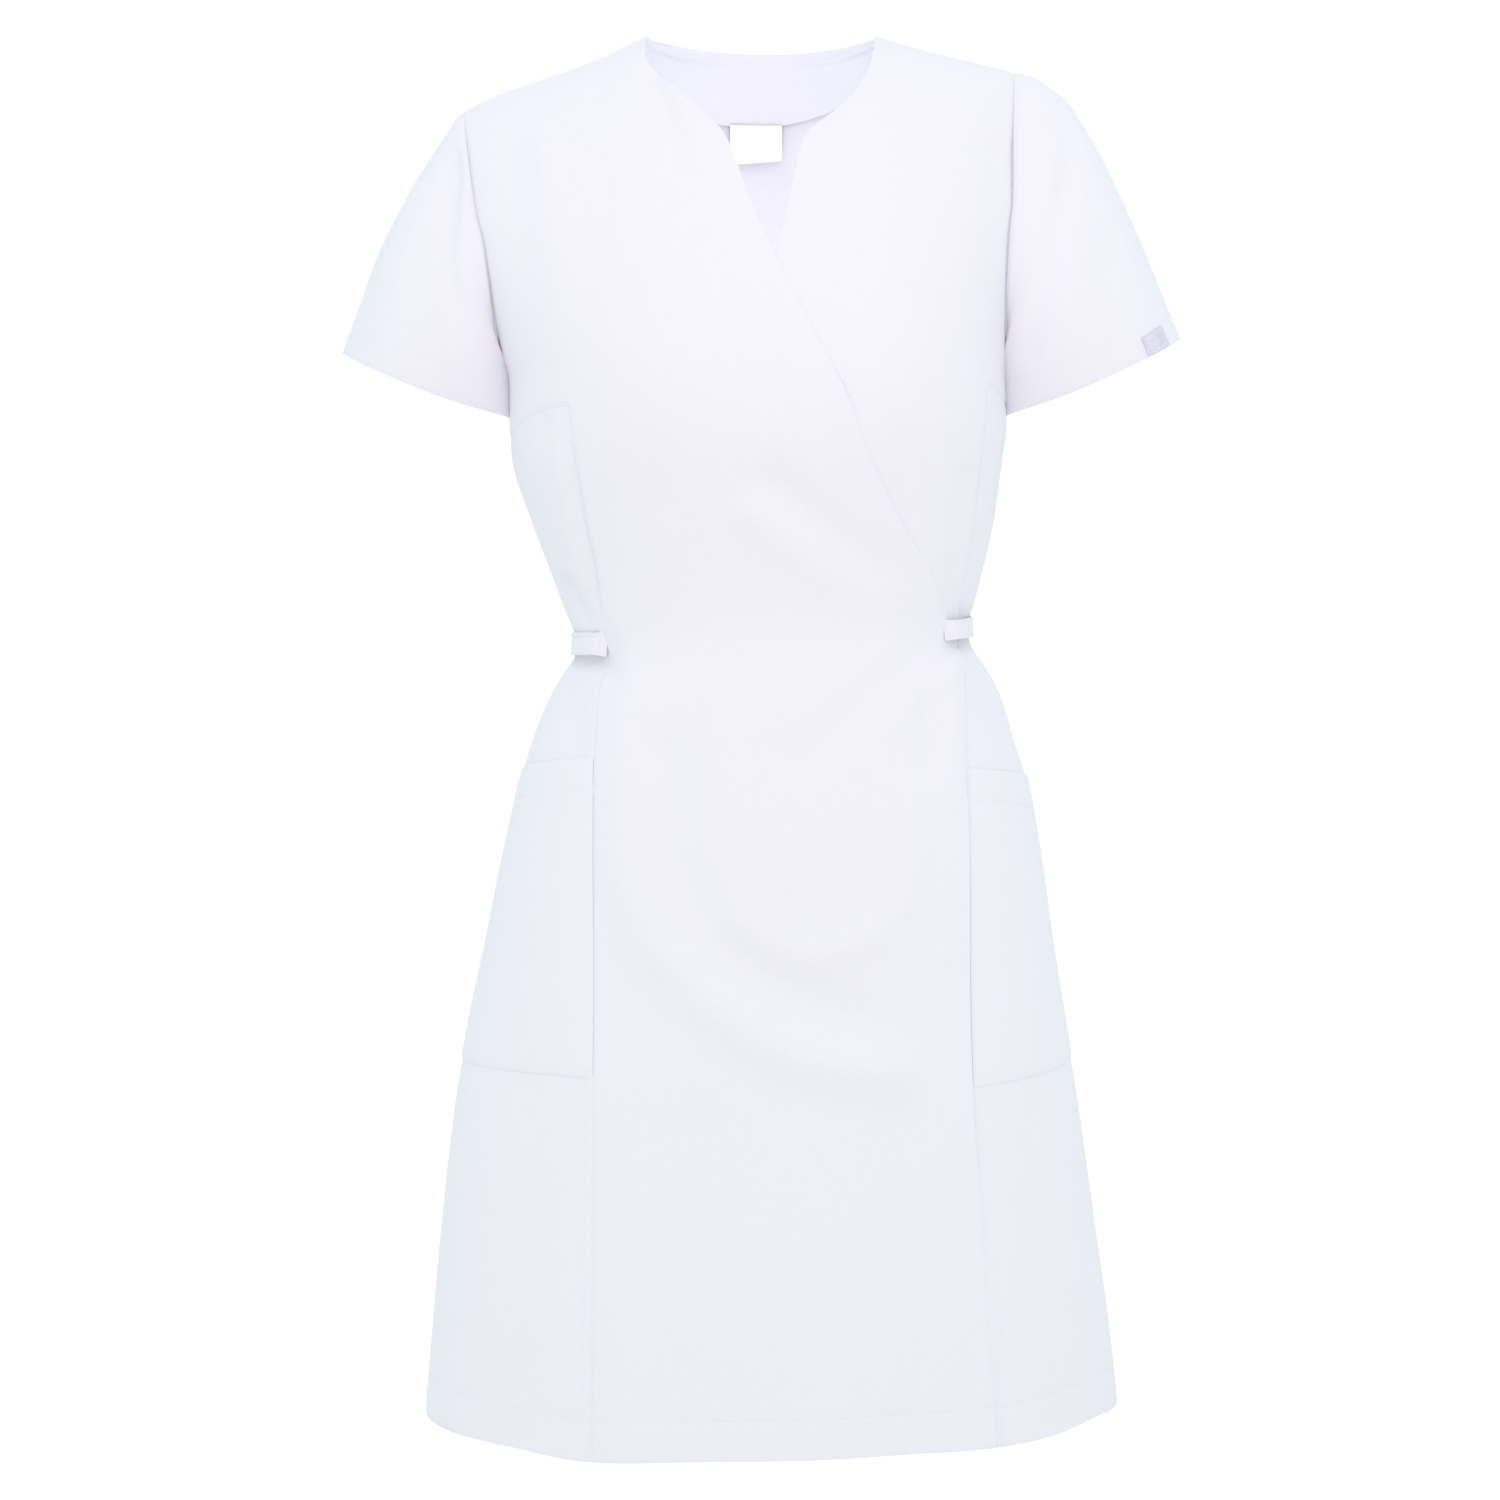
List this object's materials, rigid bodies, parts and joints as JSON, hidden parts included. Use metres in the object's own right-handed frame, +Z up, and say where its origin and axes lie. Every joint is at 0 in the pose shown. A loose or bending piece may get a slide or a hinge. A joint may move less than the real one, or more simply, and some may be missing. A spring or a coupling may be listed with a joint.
{
  "type": "wrap-front nurse uniform dress",
  "caption": "Short-sleeved wrap-front uniform dress in white cloth, hollow as worn, with a notched round neck, narrow half belt and patch pockets on the side panels.",
  "frame": {"origin": "midway between the two neck points of the shoulder seams, where the wearer's shoulders hold the dress up", "axes": "+Z up, the dress faces -Y, +X to the wearer's left"},
  "size_m": [0.5581, 0.2846, 0.925],
  "materials": {
    "dress_cloth": "matt",
    "belt_cloth": "matt",
    "label_ribbon": "satin",
    "tab_ribbon": "satin"
  },
  "bodies": {
    "root": {"front_over": "dress_cloth", "front_under": "dress_cloth", "side_panel_right": "dress_cloth", "side_panel_left": "dress_cloth", "back": "dress_cloth", "sleeve_right": "dress_cloth", "sleeve_left": "dress_cloth", "pocket_right": "dress_cloth", "pocket_left": "dress_cloth", "belt": "belt_cloth", "back_neck_facing": "dress_cloth", "neck_label": "label_ribbon", "sleeve_tab": "tab_ribbon"}
  },
  "joints": []
}
